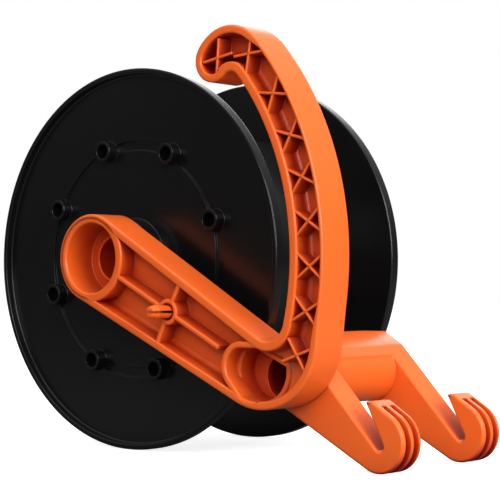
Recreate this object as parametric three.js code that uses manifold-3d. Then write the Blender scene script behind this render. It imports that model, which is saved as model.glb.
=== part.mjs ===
// Hand-held cord reel. A black two-flange spool turns on the stub axle of a one-sided orange frame,
// which carries the hand grip and a fork with two hooks that hang the reel on a wire.
// Millimetres, +Z up. The spool turns about the Y axis. The frame's arm is on the -Y side of the
// spool, and the grip and the hooks are towards +X. The reel stands on its two rims and two hooks.
import * as THREE from "three";
import { mergeVertices } from "three/addons/utils/BufferGeometryUtils.js";
import Module from "manifold-3d";

const wasm = await Module();
wasm.setup();

const gap = 0.3; // running and fitting clearance between two pieces

// Spool
const flangeRadius = 125;
const windingWidth = 112.4; // between the inner faces of the flanges
const webThickness = 2.6;
const rimWidth = 7.6;
const rimLip = 3.5;
const grooveRadius = 74.7;
const grooveWidth = 6.3;
const grooveDepth = 1.6;
const drumRadius = 84.5;
const drumWall = 2.8;

// Screws that clamp the flanges to the drum
const screwCount = 8;
const screwCircleRadius = 75.2;
const lockAngle = -26.6; // degrees; one boss stands behind the lock pin at rest
const bossRadius = 7;
const bossBore = 4.75;
const bossProud = 2.4; // how far a boss stands past the rim
const spigotWall = 1.6;
const spigotLength = 11;
const screwSeat = 2.5;
const screwShank = 2;
const screwHeadRadius = 3.9;
const screwHeadHeight = 2.8;
const screwGrip = 22;
const postWall = 1.8;

// Axle and bearings
const axleRadius = 21;
const axleBore = 13.5;
const axlePlug = 16;
const bushWall = 2.4;
const bushCollar = 1.8;
const thrustWasherThickness = 1.2;
const flangeHubWall = 2.2;
const hubReach = 12; // of a flange hub into the drum
const capThickness = 4;
const capScrewShank = 3;
const capScrewLength = 14;
const capScrewHead = 6.5;

// Frame, seen along the spool's axis
const frameDepth = 25.7;
const frameGap = 10.5; // between the rim of the near flange and the frame
const floorThickness = 3;
const floorDepth = 14; // from the frame's front to the middle of its floor
const hubRadius = 28.1;
const hubBore = 22.4;
const hubFloor = 2.5;
const lowerEdgeAngle = -24.3;
const upperEdgeAngle = -29.9;
const armWall = 5;
const ribThickness = 3;
const longRibReach = 122; // from the spool's axis to the socket's wall
const baseRadius = 43.5;
const baseX = 141.1;
const gripInner = 164;
const gripOuter = 188.8;
const gripInnerWall = 6;
const gripOuterWall = 2.2;
const gripStartAngle = -9;
const gripFillet = 13;
const headAngle = 43;
const headTopRadius = 29;
const headEndRadius = 13.5;
const headEndAngle = 145;
const throatRadius = 7.5;
const headWall = 5;

// Crossed ribs in the grip
const crossRib = 1.7;
const crossSpread = 7.2; // half its width along the grip
const crossRecess = 1; // below the front edges of the walls
const crossStartAngle = -18.8;
const crossPitch = 8.35;
const crossCount = 6;
const headCrossAngles = [32, 42];
const headCrossReach = 4; // of the last cross from the middle of the head's round end
const headCrossAngle = 15;

// Socket at the foot of the grip
const socketX = 135;
const socketZ = -68;
const socketRadius = 17.4;
const socketChordOffset = 9.5; // from the socket's centre to its flat side
const socketFlatAngle = 66;
const socketWall = 4;
const wallX = 126.3; // the wall that stands round the open side of the socket
const wallZ = -65.4;
const wallRadius = 13.1;
const wallThickness = 3.8;
const wallEndAngle = 223;
const wallRun = 15; // of each straight end into the walls of the arm
const socketDepth = 23.7;

// Fork: a hollow cross tube between two legs, each ending in a hook
const legThickness = 19;
const legSpacing = 83.3;
const tubeX = 143;
const tubeZ = -71.5;
const tubeRadius = 18.7;
const tubeWall = 4.5;
const forkTopX = 140.4;
const forkTopZ = -46.8;
const shoulderX = 153.7;
const shoulderZ = -54.8;
const hookX = 208;
const hookRadius = 18;
const legUnderAngle = -28.3;
const tipAngle = -33;
const tipWidth = 5.3;
const tipTopZ = -83.6;
const slotRadius = 2.6;
const slotX = 209.3;
const slotZ = -109.3;
const slotMouthX = 188.5; // where the top of a leg bends down into the slot
const slotMouthZ = -91.6;
const finGroove = 5;
const finDepth = 4.5;
const finRun = 11; // of the grooves along the straight tip

// Lock pin
const pinRadius = 4;
const pinProud = 14.7; // split end beyond the frame's front
const pinTravel = 10;
const pinShoulder = 6;
const pinShoulderLength = 5.2;
const pinNose = 4.4;
const pinSlot = 2;
const pinBarb = 0.6;
const pinBarbLength = 6;
const ringRadius = 8.1;
const ringMouth = 5.2;
const ringMouthDepth = 2.5;

// Winding knob
const knobCircleRadius = 98;
const knobAngle = -90;
const knobBossRadius = 10;
const knobBossProud = 6;
const knobRadius = 14;
const knobWaist = 11.5;
const knobLength = 58;
const knobShoulder = 4;
const knobScrewShank = 3;
const knobScrewReach = 12;
const knobScrewHead = 7.5;
const knobScrewHeadHeight = 3.5;
const knobRecess = 9;
const knobRecessDepth = 8;
const knobCapThickness = 2;
const knobWasherThickness = 1;
const knobWasherRadius = 9.5;

// Places along the spool's axis
const innerFace = windingWidth / 2;
const rimFace = innerFace + rimWidth;
const bossFace = rimFace + bossProud;
const frameBack = -(rimFace + frameGap);
const frameFront = frameBack - frameDepth;
const floorMiddle = frameFront + floorDepth;
const bushFace = -frameBack - gap - thrustWasherThickness - gap;
const hubFace = bushFace - bushCollar - gap;
const bushRadius = axleRadius + gap + bushWall;
const flangeHubBore = bushRadius + gap;
const flangeHubRadius = flangeHubBore + flangeHubWall;
const axleEnd = bushFace;
const capFace = axleEnd + gap;
const screwSeatPlace = innerFace - spigotLength + screwSeat;
const forkStart = frameBack;
const forkSecondLeg = forkStart + legSpacing;
const forkEnd = forkSecondLeg + legThickness;

const degrees = THREE.MathUtils.degToRad;

function polar(radius, angle) {
  return new THREE.Vector2(radius * Math.cos(degrees(angle)), radius * Math.sin(degrees(angle)));
}

// ---- From three.js geometry to solids and back

function solid(geometry) {
  const bare = geometry.index ? geometry.toNonIndexed() : geometry.clone();
  bare.deleteAttribute("normal");
  bare.deleteAttribute("uv");
  const merged = mergeVertices(bare, 1e-4);
  const data = { numProp: 3, vertProperties: merged.attributes.position.array };
  const made = new wasm.Manifold(new wasm.Mesh({ ...data, triVerts: new Uint32Array(merged.index.array) }));
  if (made.volume() > 0) return made;
  const turned = new Uint32Array(merged.index.array).reverse();
  return new wasm.Manifold(new wasm.Mesh({ ...data, triVerts: turned }));
}

function union(solids) {
  return solids.reduce((sum, one) => sum.add(one));
}

// A closed outline of X and Z, drawn out along Y from one place to another.
// arcSides is the number of flats in each of the outline's arcs.
function prism(shape, yFrom, yTo, arcSides = 12) {
  const geometry = new THREE.ExtrudeGeometry(shape, {
    depth: Math.abs(yTo - yFrom),
    bevelEnabled: false,
    curveSegments: arcSides / 2,
  });
  geometry.rotateX(Math.PI / 2);
  geometry.translate(0, Math.max(yFrom, yTo), 0);
  return solid(geometry);
}

function rod(radius, yFrom, yTo, at = new THREE.Vector2(), sides = 24) {
  const shape = new THREE.Shape().absarc(at.x, at.y, radius, 0, 2 * Math.PI, false);
  return prism(shape, yFrom, yTo, sides);
}

function tube(outer, inner, yFrom, yTo, at, sides) {
  return rod(outer, yFrom, yTo, at, sides).subtract(rod(inner, yFrom - 1, yTo + 1, at, sides));
}

// A profile of [radius, y] pairs turned about the Y axis, then moved to a place in X and Z.
function turned(profile, sides = 48, at = new THREE.Vector2()) {
  const points = profile.map(([radius, y]) => new THREE.Vector2(radius, y));
  const geometry = new THREE.LatheGeometry([...points, points[0]], sides);
  geometry.translate(at.x, 0, at.y);
  return solid(geometry);
}

// A straight rib between two points of the XZ plane.
function rib(from, to, thickness, yFrom, yTo) {
  const side = to.clone().sub(from).normalize().rotateAround(new THREE.Vector2(), Math.PI / 2);
  side.multiplyScalar(thickness / 2);
  const corners = [from.clone().add(side), to.clone().add(side), to.clone().sub(side), from.clone().sub(side)];
  return prism(new THREE.Shape(corners), yFrom, yTo);
}

// A far-side piece turned round to the near side, with its screws on the same angles.
function mirrored(body) {
  return body.rotate([180, 0, 0]).rotate([0, -2 * lockAngle, 0]);
}

const finishes = {
  orange: new THREE.MeshStandardMaterial({ color: 0xf26a24, roughness: 0.35, metalness: 0 }),
  black: new THREE.MeshStandardMaterial({ color: 0x141415, roughness: 0.25, metalness: 0 }),
  white: new THREE.MeshStandardMaterial({ color: 0xe9e7e0, roughness: 0.5, metalness: 0 }),
  steel: new THREE.MeshStandardMaterial({ color: 0xb4b6ba, roughness: 0.35, metalness: 1 }),
};

const reel = new THREE.Group();

function addMesh(name, body, finish) {
  const mesh = body.getMesh();
  const geometry = new THREE.BufferGeometry();
  geometry.setAttribute("position", new THREE.BufferAttribute(mesh.vertProperties, 3));
  geometry.setIndex(new THREE.BufferAttribute(mesh.triVerts, 1));
  geometry.computeVertexNormals();
  const piece = new THREE.Mesh(geometry, finishes[finish]);
  piece.name = name;
  reel.add(piece);
}

// ---- Frame

const lowerNormal = polar(1, lowerEdgeAngle - 90);
const upperNormal = polar(1, upperEdgeAngle + 90);
const upperAlong = polar(1, upperEdgeAngle);

// The foot of the grip is a disc that the arm's lower edge runs into without a corner.
const baseZ = (baseRadius - hubRadius + lowerNormal.x * baseX) / -lowerNormal.y;
const baseCentre = new THREE.Vector2(baseX, baseZ);
const headTop = polar(gripOuter - headTopRadius, headAngle);
const headEnd = headTop.clone().add(polar(headTopRadius - headEndRadius, headEndAngle));

// The throat under the head touches the grip's inner arc and the head's round end.
function throatCentre() {
  const reach = gripInner - throatRadius;
  const far = headEnd.length();
  const between = headEndRadius + throatRadius;
  const cosine = (reach * reach + far * far - between * between) / (2 * reach * far);
  return polar(reach, THREE.MathUtils.radToDeg(headEnd.angle() - Math.acos(cosine)));
}

function filletCentre() {
  const away = hubRadius + gripFillet;
  const along = Math.sqrt((gripInner - gripFillet) ** 2 - away ** 2);
  return upperNormal.clone().multiplyScalar(away).addScaledVector(upperAlong, along);
}

// Outline of arm, foot, grip and head in one, drawn in from the outside by the given walls.
function frameOutline({ arm, foot, inner, outer, head }) {
  const throat = throatCentre();
  const fillet = filletCentre();
  const throatTurn = throat.clone().sub(headEnd).angle();
  const shape = new THREE.Shape();
  const hub = hubRadius - arm;
  shape.absarc(0, 0, hub, degrees(upperEdgeAngle + 90), lowerNormal.angle(), false);
  shape.absarc(baseCentre.x, baseCentre.y, baseRadius - foot, lowerNormal.angle(), degrees(357), false);
  shape.absarc(0, 0, gripOuter - outer, degrees(gripStartAngle), degrees(headAngle - outer), false);
  shape.absarc(headTop.x, headTop.y, headTopRadius - head, degrees(headAngle + 2 * head), degrees(headEndAngle), false);
  shape.absarc(headEnd.x, headEnd.y, headEndRadius - head, degrees(headEndAngle), throatTurn, false);
  shape.absarc(throat.x, throat.y, throatRadius + inner, throatTurn - Math.PI, throat.angle(), true);
  shape.absarc(0, 0, gripInner + inner, throat.angle(), fillet.angle(), true);
  shape.absarc(fillet.x, fillet.y, gripFillet + inner, fillet.angle(), degrees(upperEdgeAngle - 90), true);
  return shape;
}

// The socket is round, with a flat side towards the grip.
function socketShape(extra) {
  const half = Math.acos((socketChordOffset + extra) / (socketRadius + extra));
  const middle = degrees(socketFlatAngle);
  const shape = new THREE.Shape();
  shape.absarc(socketX, socketZ, socketRadius + extra, middle + half, middle - half + 2 * Math.PI, false);
  return shape;
}

// A cross of two thin ribs that reach from one wall of the grip's channel to the other.
function cross(centre, outward, yFrom, yTo) {
  const reach = (gripOuter - gripOuterWall - gripInner - gripInnerWall) / 2 + 1;
  const radial = polar(reach, outward);
  const along = polar(crossSpread, outward + 90);
  const corner = (sign) => radial.clone().addScaledVector(along, sign);
  return union([
    rib(centre.clone().sub(corner(1)), centre.clone().add(corner(1)), crossRib, yFrom, yTo),
    rib(centre.clone().sub(corner(-1)), centre.clone().add(corner(-1)), crossRib, yFrom, yTo),
  ]);
}

function gripCrosses() {
  const middle = (gripInner + gripInnerWall + gripOuter - gripOuterWall) / 2;
  const angles = [...headCrossAngles];
  for (let i = 0; i < crossCount; i += 1) angles.push(crossStartAngle + i * crossPitch);
  const centres = angles.map((angle) => [polar(middle, angle), angle]);
  const last = headEnd.clone().add(polar(headCrossReach, headCrossAngle));
  centres.push([last, headAngle + 45]);
  const crosses = centres.map(([at, angle]) => {
    return cross(at, angle, frameFront + crossRecess, frameBack - crossRecess);
  });
  return union(crosses);
}

// Side view of a fork leg with its hook, a U-turn of a round end into a free tip.
function legShape() {
  const hookZ = -flangeRadius + hookRadius;
  const tipRise = polar(1, tipAngle);
  const tipFoot = new THREE.Vector2(hookX, hookZ).add(polar(hookRadius, tipAngle + 90));
  const tipRun = (tipTopZ - tipFoot.y) / -tipRise.y;
  const tipOuter = tipFoot.x - tipRun * tipRise.x;
  const shape = new THREE.Shape();
  shape.moveTo(tubeX - tubeRadius, forkTopZ);
  shape.absarc(tubeX, tubeZ, tubeRadius, Math.PI, degrees(legUnderAngle - 90) + 2 * Math.PI, false);
  shape.absarc(hookX, hookZ, hookRadius, degrees(legUnderAngle - 90), degrees(tipAngle + 90), false);
  shape.lineTo(tipOuter, tipTopZ);
  shape.lineTo(tipOuter - tipWidth, tipTopZ);
  shape.absarc(slotX, slotZ, slotRadius, degrees(27), degrees(-134), true);
  shape.lineTo(slotMouthX, slotMouthZ);
  shape.lineTo(shoulderX, shoulderZ);
  shape.lineTo(forkTopX, forkTopZ);
  return shape;
}

// The band round the outside of a hook that is cut away between two fins.
function finBand(yFrom, yTo) {
  const hookZ = -flangeRadius + hookRadius;
  const band = new THREE.Shape();
  const edge = polar(1, tipAngle + 90);
  const far = new THREE.Vector2(hookX, hookZ).addScaledVector(edge, hookRadius + finDepth);
  const near = new THREE.Vector2(hookX, hookZ).addScaledVector(edge, hookRadius - finDepth);
  const back = polar(finRun, tipAngle + 180);
  band.absarc(hookX, hookZ, hookRadius + finDepth, degrees(-105), degrees(tipAngle + 90), false);
  band.lineTo(far.x + back.x, far.y + back.y);
  band.lineTo(near.x + back.x, near.y + back.y);
  band.absarc(hookX, hookZ, hookRadius - finDepth, degrees(tipAngle + 90), degrees(-105), true);
  return prism(band, yFrom, yTo);
}

function forkLeg(yFrom) {
  const fin = (legThickness - 2 * finGroove) / 3;
  const leg = prism(legShape(), yFrom, yFrom + legThickness);
  const first = yFrom + fin;
  const second = first + finGroove + fin;
  return leg.subtract(finBand(first, first + finGroove)).subtract(finBand(second, second + finGroove));
}

function crossTube() {
  const shape = new THREE.Shape();
  shape.moveTo(forkTopX, forkTopZ);
  shape.lineTo(tubeX - tubeRadius, forkTopZ);
  shape.absarc(tubeX, tubeZ, tubeRadius, Math.PI, degrees(45) + 2 * Math.PI, false);
  shape.lineTo(shoulderX, shoulderZ);
  return prism(shape, forkStart, forkSecondLeg);
}

const lockPlace = polar(screwCircleRadius, lockAngle);

function frame() {
  const whole = { arm: 0, foot: 0, inner: 0, outer: 0, head: 0 };
  const walls = { arm: armWall, foot: armWall, inner: gripInnerWall, outer: gripOuterWall, head: headWall };
  const pocket = frameOutline(walls);
  const frontPocket = prism(pocket, frameFront - 1, floorMiddle - floorThickness / 2);
  const backPocket = prism(pocket, floorMiddle + floorThickness / 2, frameBack + 1).subtract(
    rod(baseRadius, frameFront, frameBack + 2, baseCentre),
  );
  let body = prism(frameOutline(whole), frameFront, frameBack);
  body = body.subtract(frontPocket).subtract(backPocket);

  const armEnd = polar(longRibReach, lockAngle);
  const ribs = union([
    rib(lockPlace.clone().multiplyScalar(0.2), armEnd, ribThickness, frameFront, frameBack),
    transverseRib(),
    rod(ringRadius, frameFront, frameBack, lockPlace),
    gripCrosses(),
  ]).intersect(prism(frameOutline({ arm: 1, foot: 1, inner: 1, outer: 1, head: 1 }), frameFront, frameBack));
  const socketRim = socketRing();
  body = union([body, ribs, socketRim, rod(hubRadius, frameFront, frameBack, undefined, 24)]);

  const fork = union([forkLeg(forkStart), forkLeg(forkSecondLeg), crossTube()]);
  const axle = rod(axleRadius, frameBack - 1, axleEnd, undefined, 24);
  body = union([body, fork, axle]);

  const cuts = union([
    rod(hubBore, frameFront - 1, frameBack - hubFloor, undefined, 24),
    rod(axleBore, frameBack - hubFloor - 1, axleEnd - axlePlug, undefined, 24),
    rod(capScrewShank + gap, axleEnd - capScrewLength, axleEnd + 1, undefined, 16),
    prism(socketShape(0), frameFront - 1, frameFront + socketDepth),
    rod(tubeRadius - tubeWall, frameFront, forkSecondLeg - tubeWall, new THREE.Vector2(tubeX, tubeZ), 24),
    lockBore(),
  ]);
  return body.subtract(cuts);
}

function transverseRib() {
  const up = lockPlace.clone().addScaledVector(upperNormal, hubRadius);
  const down = lockPlace.clone().addScaledVector(lowerNormal, hubRadius);
  return rib(down, up, ribThickness, frameFront, frameBack);
}

// The part of the socket's wall that stands up to the frame's front, a C open towards the grip.
function socketRing() {
  const half = wallThickness / 2;
  const turn = degrees(wallEndAngle);
  const run = polar(wallRun, wallEndAngle + 90);
  const from = (radius) => polar(radius, wallEndAngle).add(new THREE.Vector2(wallX, wallZ)).add(run);
  const outer = from(wallRadius + half);
  const inner = from(wallRadius - half);
  const shape = new THREE.Shape();
  shape.moveTo(wallX + wallRun, wallZ + wallRadius + half);
  shape.absarc(wallX, wallZ, wallRadius + half, Math.PI / 2, turn, false);
  shape.lineTo(outer.x, outer.y);
  shape.lineTo(inner.x, inner.y);
  shape.absarc(wallX, wallZ, wallRadius - half, turn, Math.PI / 2, true);
  shape.lineTo(wallX + wallRun, wallZ + wallRadius - half);
  const floor = floorMiddle + floorThickness / 2;
  const skirt = prism(socketShape(socketWall), floor, frameBack);
  return prism(shape, frameFront, floor).add(skirt);
}

// Bore of the lock pin, with a countersunk mouth in front and a wider guide for its shoulder behind.
function lockBore() {
  const guide = floorMiddle + floorThickness / 2;
  return turned(
    [
      [0, frameFront - 1],
      [ringMouth + 0.6, frameFront - 1],
      [pinRadius + gap, frameFront + ringMouthDepth],
      [pinRadius + gap, guide],
      [pinShoulder + gap, guide],
      [pinShoulder + gap, frameBack + 1],
      [0, frameBack + 1],
    ],
    16,
    lockPlace,
  );
}

addMesh("frame", frame(), "orange");

// ---- Lock pin: pushed in along its axis, its nose enters a boss and stops the spool

function lockPin() {
  const shoulderStart = floorMiddle + floorThickness / 2 + gap;
  const shoulderEnd = shoulderStart + pinShoulderLength;
  const tip = frameFront - pinProud;
  const noseEnd = -bossFace - 2;
  const body = turned(
    [
      [0, tip],
      [pinRadius - 1, tip],
      [pinRadius + pinBarb, tip + pinBarbLength - 1],
      [pinRadius + pinBarb, tip + pinBarbLength],
      [pinRadius, tip + pinBarbLength + 0.5],
      [pinRadius, shoulderStart],
      [pinShoulder, shoulderStart],
      [pinShoulder, shoulderEnd],
      [pinNose, shoulderEnd],
      [pinNose, noseEnd - 1.5],
      [pinNose - 1.5, noseEnd],
      [0, noseEnd],
    ],
    16,
    lockPlace,
  );
  const from = new THREE.Vector2(lockPlace.x - 2 * pinRadius, lockPlace.y);
  const to = new THREE.Vector2(lockPlace.x + 2 * pinRadius, lockPlace.y);
  return body.subtract(rib(from, to, pinSlot, tip - 1, frameFront + ringMouthDepth + 1));
}

addMesh("lock_pin", lockPin(), "orange");

// ---- Spool

function screwPlace(index) {
  return polar(screwCircleRadius, lockAngle + (index * 360) / screwCount);
}

// The far flange; the near one is the same moulding turned round.
function flange() {
  const web = innerFace + webThickness;
  const inGroove = grooveRadius - grooveWidth / 2;
  const outGroove = grooveRadius + grooveWidth / 2;
  const disc = turned([
    [flangeHubBore, innerFace - hubReach],
    [flangeHubRadius, innerFace - hubReach],
    [flangeHubRadius, innerFace],
    [flangeRadius, innerFace],
    [flangeRadius, rimFace],
    [flangeRadius - rimLip, rimFace],
    [flangeRadius - rimLip, web],
    [outGroove, web],
    [outGroove, web - grooveDepth],
    [inGroove, web - grooveDepth],
    [inGroove, web],
    [flangeHubRadius, web],
    [flangeHubRadius, hubFace],
    [flangeHubBore, hubFace],
  ]);
  const bosses = [];
  const holes = [];
  for (let i = 0; i < screwCount; i += 1) {
    const at = screwPlace(i);
    bosses.push(rod(bossRadius, web - grooveDepth - 0.2, bossFace, at, 12));
    bosses.push(rod(bossBore + spigotWall, innerFace - spigotLength, innerFace + 1, at, 12));
    holes.push(rod(bossBore, screwSeatPlace, bossFace + 1, at, 10));
    holes.push(rod(screwShank + gap, innerFace - spigotLength - 1, screwSeatPlace + 1, at, 6));
  }
  return union([disc, ...bosses]).subtract(union(holes));
}

function knobPlace() {
  return polar(knobCircleRadius, knobAngle);
}

const knobBossFace = rimFace + knobBossProud;

function farFlange() {
  const boss = rod(knobBossRadius, innerFace + 1, knobBossFace, knobPlace(), 24);
  const pilot = rod(knobScrewShank + gap, knobBossFace - knobScrewReach, knobBossFace + 1, knobPlace(), 16);
  return flange().add(boss).subtract(pilot);
}

addMesh("near_flange", mirrored(flange()), "black");
addMesh("far_flange", farFlange(), "black");

// The drum is clamped between the flanges, whose spigots sit in the ends of its screw posts.
function drum() {
  const end = innerFace - gap;
  const recessRadius = bossBore + spigotWall + gap;
  const recess = spigotLength + gap;
  const parts = [tube(drumRadius, drumRadius - drumWall, -end, end, undefined, 48)];
  const holes = [];
  for (let i = 0; i < screwCount; i += 1) {
    const at = screwPlace(i);
    parts.push(rod(recessRadius + postWall, -end, end, at, 12));
    holes.push(rod(recessRadius, end - recess, end + 1, at, 12));
    holes.push(rod(recessRadius, -end - 1, -end + recess, at, 12));
    holes.push(rod(screwShank + gap, end - recess - screwGrip, end, at, 6));
    holes.push(rod(screwShank + gap, -end, -end + recess + screwGrip, at, 6));
  }
  return union(parts).subtract(union(holes));
}

addMesh("winding_drum", drum(), "black");

// ---- Fasteners and bearings

function panScrew(headRadius, headHeight, shank, length, seat, at) {
  const crown = seat + headHeight;
  return turned(
    [
      [0, seat - length],
      [shank - 1, seat - length],
      [shank, seat - length + 2],
      [shank, seat],
      [headRadius, seat],
      [headRadius, crown - 1],
      [headRadius - 1.2, crown],
      [0, crown],
    ],
    8,
    at,
  );
}

const clampScrewLength = screwSeat + screwGrip - 2;
for (let i = 0; i < screwCount; i += 1) {
  const seat = screwSeatPlace + gap;
  const screw = panScrew(screwHeadRadius, screwHeadHeight, screwShank, clampScrewLength, seat, screwPlace(i));
  addMesh("far_flange_screw_" + (i + 1), screw, "steel");
  addMesh("near_flange_screw_" + (i + 1), mirrored(screw), "steel");
}

function bush() {
  return turned(
    [
      [axleRadius + gap, innerFace - hubReach],
      [bushRadius, innerFace - hubReach],
      [bushRadius, hubFace + gap],
      [flangeHubRadius, hubFace + gap],
      [flangeHubRadius, bushFace],
      [axleRadius + gap, bushFace],
    ],
    24,
  );
}

addMesh("far_bush", bush(), "white");
addMesh("near_bush", mirrored(bush()), "white");

const thrustFrom = frameBack + gap;
const thrustTo = thrustFrom + thrustWasherThickness;
addMesh("thrust_washer", tube(flangeHubRadius, axleRadius + gap, thrustFrom, thrustTo, undefined, 24), "steel");

const capTo = capFace + capThickness;
const capHole = capScrewShank + gap;
addMesh("axle_cap", tube(flangeHubRadius, capHole, capFace, capTo, undefined, 24), "black");
const capScrewGrip = capScrewLength + capThickness - 1;
addMesh("axle_cap_screw", panScrew(capScrewHead, 4, capScrewShank, capScrewGrip, capTo + gap), "steel");

// ---- Winding knob, free to turn on its shoulder screw

const knobWasherTo = knobBossFace + gap + knobWasherThickness;
const knobStart = knobWasherTo + gap;
const knobEnd = knobStart + knobLength;
const knobSeat = knobEnd - knobRecessDepth;

function knob() {
  const edge = 2.5;
  const waist = knobStart + 0.35 * knobLength;
  return turned(
    [
      [knobShoulder + gap, knobStart],
      [knobWaist, knobStart],
      [knobWaist + 0.6, waist],
      [knobRadius - 0.6, knobStart + 0.7 * knobLength],
      [knobRadius, knobEnd - 3 * edge],
      [knobRadius - 0.6, knobEnd - edge],
      [knobRadius - edge, knobEnd],
      [knobRecess, knobEnd],
      [knobRecess, knobSeat],
      [knobShoulder + gap, knobSeat],
    ],
    20,
    knobPlace(),
  );
}

addMesh("winding_knob", knob(), "black");

function knobScrew() {
  const shoulderFrom = knobBossFace + gap;
  const head = knobSeat + gap;
  return turned(
    [
      [0, knobBossFace - knobScrewReach + 1],
      [knobScrewShank - 1, knobBossFace - knobScrewReach + 1],
      [knobScrewShank, knobBossFace - knobScrewReach + 3],
      [knobScrewShank, shoulderFrom],
      [knobShoulder, shoulderFrom],
      [knobShoulder, head],
      [knobScrewHead, head],
      [knobScrewHead, head + knobScrewHeadHeight - 1],
      [knobScrewHead - 1.2, head + knobScrewHeadHeight],
      [0, head + knobScrewHeadHeight],
    ],
    12,
    knobPlace(),
  );
}

addMesh("knob_shoulder_screw", knobScrew(), "steel");
const washerFrom = knobBossFace + gap;
const washerHole = knobShoulder + gap;
addMesh("knob_washer", tube(knobWasherRadius, washerHole, washerFrom, knobWasherTo, knobPlace(), 16), "steel");
addMesh("knob_cap", rod(knobRecess - gap, knobEnd - knobCapThickness, knobEnd - gap, knobPlace(), 16), "black");

// The part's origin is under the middle of the reel, on the surface that it stands on.
const bounds = new THREE.Box3().setFromObject(reel);
const middle = bounds.getCenter(new THREE.Vector3());
reel.position.set(-middle.x, -middle.y, flangeRadius);

const part = new THREE.Group();
part.add(reel);
export default part;
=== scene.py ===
# Hand-held cord reel: the looks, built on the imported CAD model.
# Lengths in the dictionaries are millimetres, seen from the middle of the spool, with Y along its axle.
import math

import bmesh
import bpy
from mathutils import Matrix, Vector


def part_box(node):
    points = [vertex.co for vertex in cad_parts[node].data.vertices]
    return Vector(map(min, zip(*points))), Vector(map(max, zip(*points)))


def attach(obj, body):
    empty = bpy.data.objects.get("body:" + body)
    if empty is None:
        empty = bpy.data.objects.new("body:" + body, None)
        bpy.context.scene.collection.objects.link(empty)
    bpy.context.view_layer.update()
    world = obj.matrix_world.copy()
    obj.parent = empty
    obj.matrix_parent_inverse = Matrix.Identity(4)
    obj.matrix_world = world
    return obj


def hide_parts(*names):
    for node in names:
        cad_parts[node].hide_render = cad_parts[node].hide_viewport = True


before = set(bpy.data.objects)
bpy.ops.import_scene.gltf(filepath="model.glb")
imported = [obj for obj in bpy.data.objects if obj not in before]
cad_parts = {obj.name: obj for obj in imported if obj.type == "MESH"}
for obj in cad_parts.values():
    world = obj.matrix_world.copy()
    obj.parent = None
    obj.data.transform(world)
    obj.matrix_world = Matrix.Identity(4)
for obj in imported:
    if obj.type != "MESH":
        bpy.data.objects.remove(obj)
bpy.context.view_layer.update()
drumLow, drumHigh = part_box("winding_drum")
spoolCentre = (drumLow + drumHigh) / 2
mm = 0.001
print("frame loaded, spool centre", [round(v, 4) for v in spoolCentre])


# small tools: points are (x, y, z) in mm round the spool's centre

def polar(radius, angle):
    return (radius * math.cos(math.radians(angle)), radius * math.sin(math.radians(angle)))


def arc(cx, cz, radius, start, end, count):
    # points along an arc in the XZ plane, both ends included
    points = []
    for i in range(count):
        x, z = polar(radius, start + (end - start) * i / (count - 1))
        points.append((cx + x, cz + z))
    return points


def quarterTurn(steps):
    # (1 - cos, 1 - sin) pairs from 0 to 90 degrees, for rounding an edge
    angles = [math.pi / 2 * i / steps for i in range(steps + 1)]
    return [(1 - math.cos(a), 1 - math.sin(a)) for a in angles]


def loft(loops, capped=True, wrapped=False):
    # skin through loops of equal count, closed at both ends by caps or by joining last to first
    count = len(loops[0])
    points = [p for loop in loops for p in loop]
    faces = []
    for k in range(len(loops) if wrapped else len(loops) - 1):
        a, b = k * count, ((k + 1) % len(loops)) * count
        for i in range(count):
            j = (i + 1) % count
            faces.append((a + i, a + j, b + j, b + i))
    if capped and not wrapped:
        faces.append(tuple(range(count)))
        last = (len(loops) - 1) * count
        faces.append(tuple(range(last, last + count)))
    return points, faces


def lathe(profile, segments=128, cx=0.0, cz=0.0):
    # closed profile of (radius, y) turned about the Y direction through (cx, cz)
    loops = []
    for k in range(segments):
        c, s = polar(1, 360 * k / segments)
        loops.append([(cx + r * c, y, cz + r * s) for r, y in profile])
    return loft(loops, wrapped=True)


def roundProfile(corners, steps=4):
    # corners of (radius, y, rounding): each corner becomes a small arc
    out = []
    count = len(corners)
    for i, (r, y, rounding) in enumerate(corners):
        if rounding <= 0:
            out.append((r, y))
            continue
        here = Vector((r, y))
        before = (Vector(corners[i - 1][:2]) - here)
        after = (Vector(corners[(i + 1) % count][:2]) - here)
        turn = before.angle(after)
        reach = min(rounding / math.tan(turn / 2), before.length * 0.49, after.length * 0.49)
        start = here + before.normalized() * reach
        end = here + after.normalized() * reach
        for k in range(steps + 1):
            t = k / steps
            out.append(tuple(start * (1 - t) ** 2 + here * 2 * t * (1 - t) + end * t ** 2))
    return out


def offsetLoop(points, distance):
    # closed outline moved inwards, for an outline that runs counter-clockwise
    out = []
    count = len(points)
    for i, p in enumerate(points):
        a = Vector(points[i - 1])
        b = Vector(p)
        c = Vector(points[(i + 1) % count])
        first = (b - a).normalized()
        second = (c - b).normalized()
        n1 = Vector((-first.y, first.x))
        n2 = Vector((-second.y, second.x))
        n = (n1 + n2).normalized()
        stretch = min(1 / max(n.dot(n1), 0.5), 2.0)
        out.append(tuple(b + n * distance * stretch))
    return out


def slab(outline, yLow, yHigh, rounding, steps=3):
    # an outline of (x, z) drawn out along Y, with rounded edges at both ends
    loops = []
    for inset, drop in quarterTurn(steps)[::-1]:
        loops.append((inset * rounding, yLow + drop * rounding))
    for inset, drop in quarterTurn(steps):
        loops.append((inset * rounding, yHigh - drop * rounding))
    skins = []
    for inset, y in loops:
        ring = offsetLoop(outline, inset) if inset > 0 else outline
        skins.append([(x, y, z) for x, z in ring])
    return loft(skins)


def barOutline(start, end, thickness):
    a, b = Vector(start), Vector(end)
    side = (b - a).normalized() * (thickness / 2)
    n = Vector((-side.y, side.x))
    return [tuple(p) for p in (a - n, b - n, b + n, a + n)]


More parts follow.
